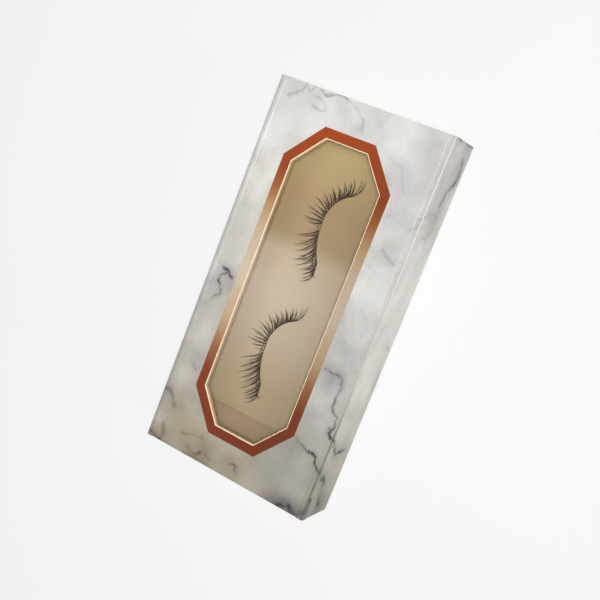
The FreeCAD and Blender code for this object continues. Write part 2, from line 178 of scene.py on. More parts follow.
# Each vein: points (along the case, across the sheet), width, darkness and tint
veins = [
    ([(51.7, 26.3), (54.3, 25.6), (54.8, 24.5)], 0.5, 0.35, slate),
    ([(49.7, 22.3), (51.3, 20.4), (52.4, 18.9), (53.7, 18.3), (54.5, 18.2)], 0.3, 0.36, slate),
    ([(53.6, 17.4), (53, 16.3), (54.1, 15.9), (54.9, 15.6)], 0.3, 0.45, slate),
    ([(52.5, 14.8), (52.6, 12.7), (51.3, 11.1), (49.9, 10.7), (49.2, 12.1), (49.4, 14.4)],
     0.36, 0.34, slate),
    ([(54.9, 13.3), (54.4, 11.8), (54.6, 8.9), (53.6, 3.9), (52.2, 0.2), (50.6, -0.7), (48.3, -1.5)],
     0.36, 0.55, slate),
    ([(43, -13.2), (42.9, -15.1), (41.9, -16.5), (38.3, -17.7), (36.5, -18.8)], 0.42, 0.36, slate),
    ([(29.9, -17.3), (30.7, -17.9)], 0.6, 0.35, slate),
    ([(28.3, -24.3), (29.2, -25.1), (29.4, -26), (30.2, -26.2)], 0.4, 0.55, slate),
    ([(31.8, -25.1), (32, -26.6), (33.2, -27.3), (33.7, -29.6), (33.8, -32.6)], 0.4, 0.5, slate),
    ([(33.8, -32.6), (34.3, -35.2), (32.7, -36.2), (30.7, -36.2), (27.8, -32.7), (27.6, -30.4)],
     0.4, 0.6, slate),
    ([(50.8, -38.2), (48.8, -39.9), (46.5, -40.4), (43.7, -39.1)], 0.5, 0.65, soot),
    ([(46.5, -40.4), (43.7, -39.1), (42.3, -37.6), (40.6, -35.5), (37.4, -34.7)], 0.5, 0.85, soot),
    ([(49.9, -37.4), (48.1, -35.9), (46.6, -35.4)], 0.45, 0.5, slate),
    ([(20.5, -19.3), (19.5, -21.8), (18.8, -23.6)], 0.55, 0.34, slate),
    ([(-1.1, 22.3), (-1.4, 21.2), (-1.8, 19.6), (-2.3, 18.3)], 0.26, 0.75, plum),
    ([(-2.1, 20.9), (-3.5, 22.2), (-4.8, 22.5), (-6.7, 21), (-8.3, 21), (-9.8, 22)], 0.2, 0.7, plum),
    ([(-9.8, 22), (-12.1, 23.9), (-13.5, 26)], 0.34, 0.4, slate),
    ([(-29.7, 20.7), (-30.6, 20.8), (-31.7, 19)], 0.6, 0.5, slate),
    ([(-43, 28), (-41, 27.4), (-40, 26.2)], 0.6, 0.55, soot),
    ([(-40, 26.2), (-39.8, 24.6), (-41, 23), (-43.4, 22)], 0.6, 0.3, soot),
    ([(-53.4, 26.6), (-54.3, 24.5), (-54.2, 22.3)], 0.6, 0.6, plum),
    ([(-54.2, 22.3), (-52.7, 21.9), (-49.8, 23)], 0.5, 0.5, umber),
    ([(-49.7, 16.2), (-49.3, 13.9), (-48.5, 11.8), (-48, 10)], 0.6, 0.4, umber),
    ([(-52.4, 13.4), (-53.6, 11.7), (-53.6, 10)], 0.7, 0.5, plum),
    ([(-53, 9.4), (-51.6, 8.8)], 0.5, 0.7, umber),
    ([(-54.9, 13.6), (-54.7, 9.9), (-54.7, 5)], 0.6, 0.5, umber),
    ([(-52.6, 6.8), (-52.9, 5)], 0.6, 0.4, soot),
    ([(-51.2, -1.2), (-51.4, -2.6), (-52.4, -3.6)], 0.6, 0.4, plum),
    ([(-14.3, -16.7), (-14.4, -18.9), (-15.1, -21), (-15.4, -22.5), (-16.5, -23.3)], 0.26, 0.7, soot),
    ([(-16.5, -23.3), (-18.1, -23.1), (-20.2, -23.4), (-22.3, -23.7), (-23.6, -24.3)], 0.22, 0.6, soot),
    ([(-23.6, -24.3), (-25.2, -25.5), (-27.6, -25.4), (-28.8, -24.9)], 0.22, 0.6, soot),
    ([(-28.8, -24.9), (-29.8, -25.1), (-30.6, -26.1), (-32.4, -27.9)], 0.3, 0.85, ink),
    ([(-33.2, -30), (-35.5, -32.4), (-35.2, -35.5), (-34.9, -38.6)], 0.4, 0.9, ink),
    ([(-34.9, -38.6), (-35, -43.7)], 0.26, 0.55, slate),
    ([(-34.9, -16.7), (-35.8, -18.8), (-36.7, -21.2), (-36.8, -22.5)], 0.24, 0.65, soot),
    ([(-36.8, -22.5), (-37.3, -24.1), (-39, -24.6), (-40.2, -26), (-41.4, -27.3)], 0.28, 0.75, soot),
    ([(-42, -28.2), (-43, -30.5), (-44.3, -32.2)], 0.75, 1.0, ink),
    ([(-44.3, -32.2), (-47.3, -32.8), (-49.5, -34)], 0.24, 0.7, soot),
    ([(-49.5, -34), (-51.5, -35.8)], 0.7, 1.0, ink),
    ([(-53, -21.4), (-53.9, -22), (-54.3, -22.8)], 0.5, 1.0, ink),
    ([(-49, -27.4), (-51.5, -27.8), (-54.8, -28.2)], 0.45, 0.9, soot),
    ([(-55, -16), (-54.6, -18.5), (-53.3, -21.9), (-53.9, -24.4), (-52.6, -27)], 0.5, 0.75, soot),
    ([(-3, -39), (-5, -41.3)], 0.55, 0.5, slate),
    ([(-12, -41.7), (-17.6, -42.6)], 0.5, 0.65, slate),
    # A dark line along the flap's far end edge.
    ([(54.9, -28.5), (54.9, -43.5)], 0.35, 0.9, soot),
]

# Each cloud: centre (along, across), half-sizes, colour and strength
clouds = [
    ((52, 21), (5, 6), (204, 203, 200), 0.6),
    ((39, 23), (6, 5), (242, 241, 237), 0.6),
    ((46, 13), (6, 7), (236, 235, 232), 0.6),
    ((49, -12), (6, 5), (246, 244, 240), 0.7),
    ((51, -24), (5, 4), (192, 189, 184), 0.6),
    ((42, -24), (7, 4), (206, 202, 196), 0.6),
    ((40, -17), (5, 3), (204, 202, 206), 0.5),
    ((31, -22), (5, 4), (196, 196, 198), 0.5),
    ((20, -21), (4, 4), (194, 192, 192), 0.55),
    ((53, -33), (4, 5), (220, 216, 208), 0.6),
    ((35, -35), (7, 5), (168, 163, 152), 0.8),
    ((46, -38), (5, 5), (174, 169, 160), 0.55),
    ((-18, -37), (7, 5), (222, 218, 210), 0.6),
    ((12, 22), (7, 5), (200, 197, 190), 0.6),
    ((-4, 20), (6, 4), (170, 165, 163), 0.65),
    ((-20, 22), (6, 4), (216, 214, 204), 0.5),
    ((-28, 18), (4, 3), (168, 164, 160), 0.6),
    ((-37, 25), (6, 4), (160, 155, 150), 0.35),
    ((-33, 22), (4, 3), (208, 204, 192), 0.65),
    ((-49, 24), (4, 3), (190, 184, 172), 0.7),
    ((-15, -20), (4, 4), (150, 147, 146), 0.6),
    ((-49, 14), (4, 5), (176, 158, 132), 0.6),
    ((-52, 8), (3, 3), (140, 122, 100), 0.5),
    ((-46, 2), (4, 6), (186, 174, 164), 0.5),
    ((-52, -3), (3, 4), (156, 136, 120), 0.45),
    ((-54, 27), (3, 3), (138, 114, 98), 0.5),
    ((-44, -17), (6, 6), (158, 158, 154), 0.6),
    ((-55, -21), (3, 6), (104, 96, 100), 0.65),
    ((-42, -34), (6, 5), (166, 162, 154), 0.55),
    ((-52, -37), (5, 8), (122, 119, 111), 0.85),
]

# Random veins where the sheet covers the spine and the underside
wild_seed = 5
wild_count = 26
wild_sheet = (30, 97)
wild_step = 4.0
wild_steps = (4, 9)
wild_turn = 0.7
wild_widths = (0.3, 0.5)
wild_darkness = (0.35, 0.75)

# How noise moves the sheet's points for clouds and for veins: reach, cell and two seeds
cloud_stir = [(6, 11, 3, 23)]
vein_stir = [(1.1, 3.5, 7, 17), (0.5, 1.1, 8, 18)]

# Smoky lines: cell, seed and strength
smoke_layers = [(13, 51, 0.2), (6, 55, 0.13)]
smoke_sharpness = 8

# Unevenness of the ground, in display steps
wide_drift = 22
fine_drift = 15

# A vein's line: least width and swell, least strength and fade, all as shares, and its halo
line_least = 0.3
line_swell = 1.1
line_faint = 0.4
line_fade = 0.75
fade_gain = 1.9
fade_cut = 0.3
halo_width = 4
halo_strength = 0.14

# Folds, with wear and painted light: place across the sheet, widths, painted shade and least wear
fold_across = 26.75
pale_width = 0.2
bend_width = 0.7
bend_shade = 0.38
least_wear = 0.35


def polyline_distance(u, s, points):
    """Least distance from sheet points to a run of straight pieces."""
    least = np.full(u.shape, np.inf)
    for (u0, s0), (u1, s1) in zip(points, points[1:]):
        du, ds = u1 - u0, s1 - s0
        along = np.clip(((u - u0) * du + (s - s0) * ds) / (du * du + ds * ds), 0, 1)
        least = np.minimum(least, np.hypot(u - u0 - along * du, s - s0 - along * ds))
    return least


def drifting_veins():
    """Random wandering veins."""
    draw = random.Random(wild_seed)
    low, high = wild_sheet
    found = []
    for _ in range(wild_count):
        u, s = draw.uniform(-case_end, case_end), draw.uniform(low, high)
        heading = draw.uniform(0, 2 * math.pi)
        points = [(u, s)]
        for _ in range(draw.randint(*wild_steps)):
            heading += draw.uniform(-wild_turn, wild_turn)
            u += wild_step * math.cos(heading)
            s = min(max(s + wild_step * math.sin(heading), low), high)
            points.append((u, s))
        tint = draw.choice((slate, slate, soot, plum))
        found.append((points, draw.uniform(*wild_widths), draw.uniform(*wild_darkness), tint))
    return found


wild_veins = drifting_veins()


def toned(colour, tint, share):
    """Rows of colours moved towards a tint by a share each."""
    share = np.clip(share, 0, 1)[:, None]
    return colour * (1 - share) + np.asarray(tint, float) * share


def bell(distance, width):
    """A share that is 1 on a line and dies away over a width."""
    return np.exp(-((distance / width) ** 2))


def stirred(u, s, layers):
    """Sheet points moved about by layers of noise."""
    moved_u, moved_s = u, s
    for reach, cell, seed_u, seed_s in layers:
        moved_u = moved_u + reach * cloud_noise(u, s, cell, seed_u)
        moved_s = moved_s + reach * cloud_noise(u, s, cell, seed_s)
    return moved_u, moved_s


def ground_tone(u, s):
    """Colour of the print under clouds and veins: white at the far end, beige and grey at the near end,
    where it is darker partly from print and partly from painted shade.
    """
    along = [-56, -45, -30, -10, 10, 30, 45, 56]
    # Darker towards the near end: partly print, partly painted shade.
    lid_tone = np.interp(u, along, [164, 168, 184, 202, 212, 224, 229, 228])
    flap_tone = np.interp(u, along, [150, 166, 196, 210, 214, 208, 206, 206])
    tone = np.where(s < case_front, flap_tone, lid_tone)
    warm = np.interp(u, along, [28, 26, 15, 11, 10, 8, 6, 6])
    warm = warm * np.interp(s, [-27, -22, -8, 27], [1.0, 0.5, 0.9, 1.1])
    green_share = 0.3
    return np.stack([tone, tone - green_share * warm, tone - warm], axis=1)


def fold_wear_and_shade(colour, u, s):
    """Marks the folds: painted shade on both, and in front a pale line of wear and painted highlight that
    turns dark at the near end.
    """
    off = np.abs(np.abs(s) - fold_across)
    front = s < 0
    pale = bell(off, pale_width) * np.interp(u, [-24, -6], [0.0, 0.2]) * front
    dark_width = np.interp(u, [-46, -38], [0.32, 0.18])
    dark = bell(off, dark_width) * np.interp(u, [-28, -14], [0.85, 0.0]) * front
    patches = least_wear + (1 - least_wear) * sheet_noise(u, s, cell=3.0, seed=71)
    # Painted shade along both bends, then the pale line, partly wear and partly painted highlight.
    colour = toned(colour, slate, bend_shade * bell(off, bend_width))
    colour = toned(colour, wear_and_highlight, pale * patches)
    return toned(colour, soot, dark * patches)


def marble(u, s):
    """Display colour at sheet points, the print with painted light and shade: u along the case, s across it
    from the lid's middle.
    """
    wide_u, wide_s = stirred(u, s, cloud_stir)
    soft_u, soft_s = (u + wide_u) / 2, (s + wide_s) / 2
    fine_u, fine_s = stirred(u, s, vein_stir)
    swell = sheet_noise(u, s, cell=1.6, seed=31)
    fade = np.clip(fade_gain * sheet_noise(u, s, cell=3.6, seed=37) - fade_cut, 0, 1)
    mottle = cloud_noise(u, s, cell=5, seed=61)
    drift = wide_drift * cloud_noise(wide_u, wide_s, cell=15, seed=41)
    drift = drift + fine_drift * cloud_noise(fine_u, fine_s, cell=5, seed=45)
    colour = ground_tone(wide_u, s) + drift[:, None]
    for cell, seed, strength in smoke_layers:
        smoke = 1 - np.abs(2 * sheet_noise(wide_u, wide_s, cell, seed) - 1)
        colour = toned(colour, slate, strength * smoke ** smoke_sharpness * fade)
    for (centre_u, centre_s), (half_u, half_s), tint, strength in clouds:
        spread = ((soft_u - centre_u) / half_u) ** 2 + ((soft_s - centre_s) / half_s) ** 2
        colour = toned(colour, tint, strength * np.exp(-spread) * (1 + mottle))
    for points, width, darkness, tint in veins + wild_veins:
        distance = polyline_distance(fine_u, fine_s, points)
        line = bell(distance, width * (line_least + line_swell * swell)) * (line_faint + line_fade * fade)
        halo = halo_strength * bell(distance, halo_width * width)
        colour = toned(colour, tint, darkness * (line + halo))
    # Painted light: gains that lighten or darken the sheet across and along it, standing for uneven light.
    painted_light_across = np.interp(s, [-28, -26, 27], [1.02, 0.95, 1.01])
    painted_light_along = np.interp(u, [-56, 56], [1.03, 0.985])
    return np.clip(fold_wear_and_shade(colour * (painted_light_across * painted_light_along)[:, None], u, s), 0, 255)


def print_marble(piece, u, s, bare=False):
    """Keeps the colour of each vertex of a piece, print with painted light and shade or bare paper, in its
    "print" attribute.
    """
    colours = np.ones((len(u), 4), np.float32)
    colours[:, :3] = np.where(np.reshape(bare, (-1, 1)), linear(bare_paper), linear(marble(u, s)))
    attribute = piece.data.attributes.new("print", "FLOAT_COLOR", "POINT")
    attribute.data.foreach_set("color", colours.ravel())


# Materials

# Usual span of the noise texture's values
noise_low = 0.3
noise_high = 0.7

white = (255, 255, 255)


class Look:
    """A procedural material: short calls that add nodes and wire them to its Principled shader."""

    def __init__(self, name, **values):
        self.material = bpy.data.materials.new(name)
        self.material.use_nodes = True
        self.tree = self.material.node_tree
        self.shader = self.tree.nodes["Principled BSDF"]
        self.place = self.add("ShaderNodeTexCoord").outputs["Object"]
        for socket, value in values.items():
            self.shader.inputs[socket.replace("_", " ")].default_value = value

    def add(self, kind, links=(), **settings):
        """A node with its settings, its inputs given as (socket, value or output) pairs."""
        node = self.tree.nodes.new(kind)
        for name, value in settings.items():
            setattr(node, name, value)
        for socket, value in links:
            if isinstance(value, bpy.types.NodeSocket):
                self.tree.links.new(value, node.inputs[socket])
            else:
                node.inputs[socket].default_value = value
        return node

    def drive(self, socket, output):
        """Wires an output to one of the shader's sockets."""
        self.tree.links.new(output, self.shader.inputs[socket])

    def grain(self, size, detail=3.0, stretch=(1, 1, 1)):
        """Noise whose features are about size millimetres wide, drawn out along the axes by stretch."""
        scale = [1 / part for part in stretch]
        placed = self.add("ShaderNodeMapping", [("Vector", self.place), ("Scale", scale)])
        links = [("Vector", placed.outputs[0]), ("Scale", 1 / (size * MM)), ("Detail", detail)]
        return self.add("ShaderNodeTexNoise", links).outputs["Fac"]

    def span(self, axis, low, high):
        """A share that runs from 0 to 1 between two places along an axis, in millimetres."""
        place = self.add("ShaderNodeSeparateXYZ", [("Vector", self.place)]).outputs[axis]
        links = [("Value", place), ("From Min", low * MM), ("From Max", high * MM)]
        return self.add("ShaderNodeMapRange", links).outputs["Result"]

    def paint(self, colour, share, low, high):
        """Gives the shader a colour, and a roughness that runs from low to high with a share of noise."""
        links = [("Value", share), ("From Min", noise_low), ("From Max", noise_high)]
        links += [("To Min", low), ("To Max", high)]
        self.drive("Base Color", colour)
        self.drive("Roughness", self.add("ShaderNodeMapRange", links).outputs["Result"])

    def tones(self, share, stops):
        """A colour ramp with (place, display colour) stops."""
        node = self.add("ShaderNodeValToRGB", [("Fac", share)])
        marks = node.color_ramp.elements
        while len(marks) < len(stops):
            marks.new(1.0)
        for mark, (position, colour) in zip(marks, stops):
            mark.position = position
            mark.color = rgba(colour)
        return node.outputs["Color"]

    def shades(self, share, first, second):
        """A ramp from one display colour to another over noise's usual span."""
        return self.tones(share, [(noise_low, first), (noise_high, second)])

    def mixed(self, share, first, second, mode="MIX"):
        """Two colours mixed by a share."""
        links = [(0, share), (6, first), (7, second)]
        return self.add("ShaderNodeMix", links, data_type="RGBA", blend_type=mode).outputs[2]

    def times(self, first, second):
        """Two colours multiplied."""
        return self.mixed(1.0, first, second, "MULTIPLY")

    def show(self, shader):
        """Makes another shader node the material's surface."""
        self.tree.links.new(shader.outputs[0], self.tree.nodes["Material Output"].inputs["Surface"])

    def bump(self, height, depth, strength):
        """Bump of a depth in millimetres on the shader's normal."""
        links = [("Height", height), ("Distance", depth * MM), ("Strength", strength)]
        self.drive("Normal", self.add("ShaderNodeBump", links).outputs["Normal"])


# Ends of the tones along the window and of the painted side light across it, depths of its cream rim and of
# that rim's soft edge
tone_end = 50
foil_light_sides = (-16, 14)
card_light_sides = (-11, 6)
cream_rim = 0.4
rim_blur = 0.1

# Tones along the window from its near end: share of the way and display colour
# The foil's champagne middle is a painted reflection; its own colour is copper.
foil_stops = [
    (0.10, (135, 60, 33)), (0.21, (140, 67, 38)), (0.28, (166, 110, 76)), (0.36, (204, 172, 136)),
    (0.50, (224, 206, 180)), (0.62, (216, 194, 166)), (0.69, (202, 166, 124)), (0.76, (172, 103, 58)),
    (0.82, (160, 71, 32)), (0.95, (176, 77, 26)),
]
# In the card's tones the paler blush middle is a painted reflection, and the dark dip near 0.111 a painted
# shade line at the clear tray's plateau edge.
card_stops = [
    (0.105, (192, 164, 134)), (0.111, (176, 149, 119)), (0.116, (202, 178, 147)), (0.20, (205, 183, 152)),
    (0.36, (225, 206, 185)), (0.48, (234, 216, 196)), (0.59, (228, 209, 184)), (0.645, (198, 170, 134)),
    (0.75, (198, 168, 128)), (0.92, (220, 194, 143)),
]

clear_tint = (254, 254, 253)
clear_gloss = 0.012


def marble_paper():
    """Laminated paper: the print, with painted light and shade, under a thin satin film, with fine paper
    tooth.
    """
    look = Look("marble_paper", Coat_Weight=0.12, Coat_Roughness=0.25, Specular_IOR_Level=0.4)
    printed = look.add("ShaderNodeAttribute", attribute_name="print").outputs["Color"]
    fleck = look.shades(look.grain(0.5), (240, 239, 238), white)
    look.paint(look.times(printed, fleck), look.grain(2.5), 0.36, 0.48)
    look.bump(look.grain(0.35), depth=0.02, strength=0.5)
    return look.material


def rose_gold():
    """Stamped foil with a fine drawn grain: copper at the window's ends, champagne along its middle as a
    painted reflection.
    """
    look = Look("rose_gold_foil", Metallic=0.6, Specular_IOR_Level=0.5)
    tone = look.tones(look.span("X", -tone_end, tone_end), foil_stops)
    # Painted light: the foil darkens towards the front side.
    painted_side_light = look.tones(look.span("Y", *foil_light_sides), [(0.0, (222, 220, 218)), (1.0, white)])
    fleck = look.shades(look.grain(0.25, detail=2, stretch=(8, 1, 1)), (236, 236, 236), white)
    brushed = look.grain(0.3, detail=2, stretch=(10, 1, 1))
    look.paint(look.times(look.times(tone, painted_side_light), fleck), brushed, 0.28, 0.42)
    look.bump(look.grain(0.2, detail=2, stretch=(12, 1, 1)), depth=0.008, strength=0.5)
    return look.material


def card_tone(look):
    """Champagne tones along the case: gold at the far end, blush in the middle and tan at the near end,
    with a painted reflection in the middle and a painted shade line near the near end.
    """
    return look.tones(look.span("X", -tone_end, tone_end), card_stops)


def cut_edge():
    """Cream rim along the top of the window's cut edge, over a wall in the card's tones darkened by painted
    shade.
    """
    look = Look("cut_edge", Specular_IOR_Level=0.3)
    rim_low = case_top - cream_rim
    grain = look.grain(0.5)
    cream = look.shades(grain, (240, 218, 180), (250, 230, 196))
    # Painted shade: the card's tones, darkened a little on the wall.
    wall = look.times(card_tone(look), rgba((226, 222, 214)))
    look.paint(look.mixed(look.span("Z", rim_low - rim_blur, rim_low), wall, cream), grain, 0.5, 0.7)
    return look.material


def lining():
    """Uncoated white lining paper with a soft mottle and tooth."""
    look = Look("lining_paper", Specular_IOR_Level=0.25)
    mottle = look.shades(look.grain(6, detail=4), (224, 220, 212), (238, 235, 229))
    fleck = look.shades(look.grain(0.4), (243, 242, 240), white)
    look.paint(look.times(mottle, fleck), look.grain(1.5), 0.6, 0.78)
    look.bump(look.grain(0.3), depth=0.03, strength=0.6)
    return look.material


def grained(name, grain, colours, roughness, bump, **values):
    """A material whose colour, roughness and bump follow one grain of a size, detail and stretch."""
    look = Look(name, **values)
    share = look.grain(*grain)
    look.paint(look.shades(share, *colours), share, *roughness)
    look.bump(share, *bump)
    return look.material


def champagne():
    """Pearl card in champagne tones with fine metallic flecks, painted darker towards the front side."""
    look = Look("champagne_card", Metallic=0.05, Specular_IOR_Level=0.2)
    # Painted shade: the card darkens towards the front side.
    painted_side_light = look.tones(look.span("Y", *card_light_sides), [(0.0, (216, 214, 209)), (1.0, white)])
    fleck = look.shades(look.grain(0.18, detail=2), (236, 233, 228), white)
    look.paint(look.times(look.times(card_tone(look), painted_side_light), fleck), look.grain(0.6), 0.36, 0.5)
    look.bump(look.grain(0.18, detail=2), depth=0.01, strength=0.5)
    return look.material


def clear_sheet(name, roughness, ripple_size, ripple_depth):
    """Thin clear plastic: light passes straight through and a small share of it is mirrored."""
    look = Look(name)
    links = [("Height", look.grain(ripple_size, detail=1)), ("Distance", ripple_depth * MM)]
    normal = look.add("ShaderNodeBump", links).outputs["Normal"]
    passing = look.add("ShaderNodeBsdfTransparent", [("Color", rgba(clear_tint))])
    mirror = look.add("ShaderNodeBsdfGlossy", [("Roughness", roughness), ("Normal", normal)])
    links = [(0, clear_gloss), (1, passing.outputs[0]), (2, mirror.outputs[0])]
    look.show(look.add("ShaderNodeMixShader", links))
    look.tree.nodes.remove(look.shader)
    return look.material


def dark_fibre(name, first, second):
    """Dark synthetic fibre with a soft sheen, uneven from hair to hair."""
    look = Look(name, Specular_IOR_Level=0.4)
    look.paint(look.shades(look.grain(1.2, detail=2), first, second), look.grain(0.8), 0.38, 0.6)
    return look.material


marble_look = marble_paper()
foil_look = rose_gold()
card_look = champagne()
edge_look = cut_edge()
lash_look = dark_fibre("lash_fibre", (40, 20, 8), (62, 37, 20))
thread_look = dark_fibre("lash_thread", (48, 31, 18), (70, 50, 33))

board_core = grained(
    "board_core", grain=(0.4, 4, (3, 3, 0.4)), colours=((226, 206, 166), (252, 242, 218)),
    roughness=(0.7, 0.9), bump=(0.06, 0.6), Specular_IOR_Level=0.2,
)
kraft_tape = grained(
    "kraft_tape", grain=(0.5, 4, (4, 4, 1)), colours=((150, 112, 74), (190, 152, 108)),
    roughness=(0.65, 0.85), bump=(0.04, 0.6), Specular_IOR_Level=0.25,
)
nickel_plate = grained(
    "nickel_plate", grain=(0.3, 2, (6, 6, 1)), colours=((176, 174, 168), (206, 204, 198)),
    roughness=(0.2, 0.38), bump=(0.01, 0.5), Metallic=1.0,
)

node_looks = [
    (board_core, ["lid_board", "back_board", "spine_board", "flap_board", "tray_floor", "front_wall",
                  "rear_wall", "left_end_wall", "right_end_wall"]),
    (lining(), ["lid_liner", "flap_liner", "tray_wrap"]),
    (kraft_tape, ["corner_stays"]),
    (nickel_plate, ["wall_magnets", "flap_magnets"]),
    (clear_sheet("clear_film", roughness=0.05, ripple_size=30, ripple_depth=0.02), ["window_pane"]),
    (clear_sheet("clear_tray", roughness=0.3, ripple_size=9, ripple_depth=0.03), ["lash_tray"]),
]
for look, names in node_looks:
    for name in names:
        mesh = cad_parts[name].data
        mesh.materials.clear()
        mesh.materials.append(look)


# Mesh helpers


def new_piece(name, vertices, faces, look, smooth=True):
    """A mesh object from millimetre vertices."""
    mesh = bpy.data.meshes.new(name)
    mesh.from_pydata((np.asarray(vertices, float) * MM).tolist(), [], faces)
    mesh.polygons.foreach_set("use_smooth", [smooth] * len(mesh.polygons))
    mesh.materials.append(look)
    piece = bpy.data.objects.new(name, mesh)
    bpy.context.scene.collection.objects.link(piece)
    return piece


def vertices_of(piece):
    """A piece's vertices in millimetres, one row each."""
    flat = np.zeros(3 * len(piece.data.vertices), np.float32)
    piece.data.vertices.foreach_get("co", flat)
    return flat.reshape(-1, 3).astype(float) / MM


def ring_faces(first, rings, count, capped=True):
    """Quads that join rings of count vertices, numbered from first, and the two faces that close them."""
    faces = []
    for ring in range(rings - 1):
        low = first + ring * count
        for k in range(count):
            after = (k + 1) % count
            faces.append([low + k, low + after, low + count + after, low + count + k])
    if capped:
        end = first + (rings - 1) * count
        faces.append([first + k for k in range(count)][::-1])
        faces.append([end + k for k in range(count)])
    return faces


def stations(low, high, cell, edge):
    """Places of a slab's grid lines along one axis: close round both edges and a cell apart between."""
    edge_turns = [45, 22.5]
    bend = edge * (1 - np.tan(np.radians(edge_turns)))
    count = max(1, round((high - low - 2 * edge) / cell))
    middle = np.linspace(low + edge, high - edge, count + 1)
    return np.concatenate([low + bend, middle, high - bend[::-1]])


def slab(low, high, cell, edge, hidden):
    """Vertices and quads of a box with rounded edges, without the quads whose middle is hidden."""
    low, high = np.asarray(low, float), np.asarray(high, float)
    lines = [stations(low[axis], high[axis], cell, edge) for axis in range(3)]
    last = [len(line) - 1 for line in lines]
    numbers, quads = {}, []
    for axis in range(3):
        a, b = (axis + 1) % 3, (axis + 2) % 3
        for end in (0, last[axis]):
            for i in range(last[a]):
                for j in range(last[b]):
                    middle = [0, 0, 0]
                    middle[axis] = lines[axis][end]
                    middle[a] = (lines[a][i] + lines[a][i + 1]) / 2
                    middle[b] = (lines[b][j] + lines[b][j + 1]) / 2
                    if hidden(*middle):
                        continue
                    quad = []
                    for di, dj in ((0, 0), (1, 0), (1, 1), (0, 1)):
                        key = [0, 0, 0]
                        key[axis], key[a], key[b] = end, i + di, j + dj
                        quad.append(numbers.setdefault(tuple(key), len(numbers)))
                    quads.append(quad if end else quad[::-1])
    points = np.array([[lines[axis][key[axis]] for axis in range(3)] for key in numbers])
    core = np.clip(points, low + edge, high - edge)
    out = points - core
    return core + out * (edge / np.linalg.norm(out, axis=1))[:, None], quads


def octagon_sides(grow):
    """Directions and reaches, from the window's centre, of its outline's eight lines, moved outwards."""
    half_x = (foil_high[0] - foil_low[0]) / 2 - border_width
    half_y = (foil_high[1] - foil_low[1]) / 2 - border_width
    slope = math.hypot(window_corner_along, window_corner_across)
    slant = (window_corner_across / slope, window_corner_along / slope)
    reach = slant[0] * half_x + slant[1] * (half_y - window_corner_across)
    turns = [((1, 0), half_x), (slant, reach), ((0, 1), half_y), ((-slant[0], slant[1]), reach)]
    turns += [((-x, -y), far) for (x, y), far in turns]
    return [(direction, far + grow) for direction, far in turns]


def octagon(grow):
    """Corner points (x, y) of the window's outline moved outwards by grow."""
    sides = octagon_sides(grow)
    corners = []
    for (one, far), (two, other) in zip(sides, sides[1:] + sides[:1]):
        x, y = np.linalg.solve([one, two], [far, other])
        corners.append((x, y + window_centre_y))
    return corners


def cut_window(piece, grow):
    """Cuts the window's outline, moved outwards by grow, out of a piece."""
    tolerance = 1e-7
    cut = bmesh.new()
    cut.from_mesh(piece.data)
    sides = octagon_sides(grow)
    for (x, y), far in sides:
        place = Vector((x * far, y * far + window_centre_y, 0)) * MM
        everything = cut.verts[:] + cut.edges[:] + cut.faces[:]
        bmesh.ops.bisect_plane(cut, geom=everything, plane_co=place, plane_no=(x, y, 0), dist=tolerance)
    inside = []
    for face in cut.faces:
        middle = face.calc_center_median() / MM
        if all(x * middle.x + y * (middle.y - window_centre_y) < far for (x, y), far in sides):
            inside.append(face)
    bmesh.ops.delete(cut, geom=inside, context="FACES")
    cut.to_mesh(piece.data)
    cut.free()


def flap_sheet(z):
    """Place across the printed sheet of a height on the flap."""
    return case_front - (case_top - z)


def spine_sheet(z):
    """Place across the printed sheet of a height on the spine."""
    return case_rear + (case_top - z)


def back_sheet(y):
    """Place across the printed sheet of a point on the underside."""
    return spine_sheet(0) + (case_rear - y)


def printed_slab(name, low, high, cell, hidden, unfold, body, node, window=None):
    """A board panel wrapped in printed paper, with the window's outline, grown by window, cut out if given.

    unfold gives the depth behind the printed face and the place across the sheet.
    """
    piece = new_piece(name, *slab(low, high, cell, paper_edge, hidden), marble_look)
    if window is not None:
        cut_window(piece, window)
    x, y, z = vertices_of(piece).T
    depth, across = unfold(y, z)
    at_end = np.abs(x) > case_end - paper_edge / 2
    print_marble(piece, x + np.where(at_end, np.sign(x) * depth, 0), across)
    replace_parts(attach(piece, body), node)


# Printed cover panels

rim = tray_high[0] + skin_clearance
lining_end, lining_side = liner_high[:2] - paper_turn
printed_slab(
    "lid_cover",
    (-case_end, lid_low[1] - skin_clearance, lid_low[2] - skin_clearance / 2),
    (case_end, lid_high[1] + skin_clearance, case_top),
    fine_cell,
    lambda x, y, z: z < lid_low[2] + paper and abs(x) < lining_end and abs(y) < lining_side,
    lambda y, z: (case_top - z, y),
    "lid", "lid_wrap", border_width - paper,
)
printed_slab(
    "flap_cover",
    (-case_end, case_front, flap_low[2]),
    (case_end, flap_high[1] - skin_clearance / 2, flap_board_top + paper),
    fine_cell,
    lambda x, y, z: False,
    lambda y, z: (y - case_front, flap_sheet(z)),
    "flap", "flap_wrap",
)
printed_slab(
    "spine_cover",
    (-case_end, tray_high[1] - paper, crease_radius),
    (case_end, case_rear, spine_board_top + paper),
    coarse_cell,
    lambda x, y, z: y < tray_high[1] and abs(x) < rim,
    lambda y, z: (case_rear - y, spine_sheet(z)),
    "base", "spine_wrap",
)
printed_slab(
    "back_cover",
    (-case_end, back_low[1], 0.0),
    (case_end, case_rear - crease_radius, back_high[2]),
    coarse_cell,
    lambda x, y, z: z > tray_low[2] and abs(x) < rim,
    lambda y, z: (z, back_sheet(y)),
    "base", "back_wrap",
)


# Paper bends between the panels


def bend_points(centre, radius, start, end, count=7):
    """Points (y, z) of a round bend about a centre, between two angles in degrees."""
    angles = np.radians(np.linspace(start, end, count))
    return [(centre[0] + radius * math.cos(a), centre[1] + radius * math.sin(a)) for a in angles]


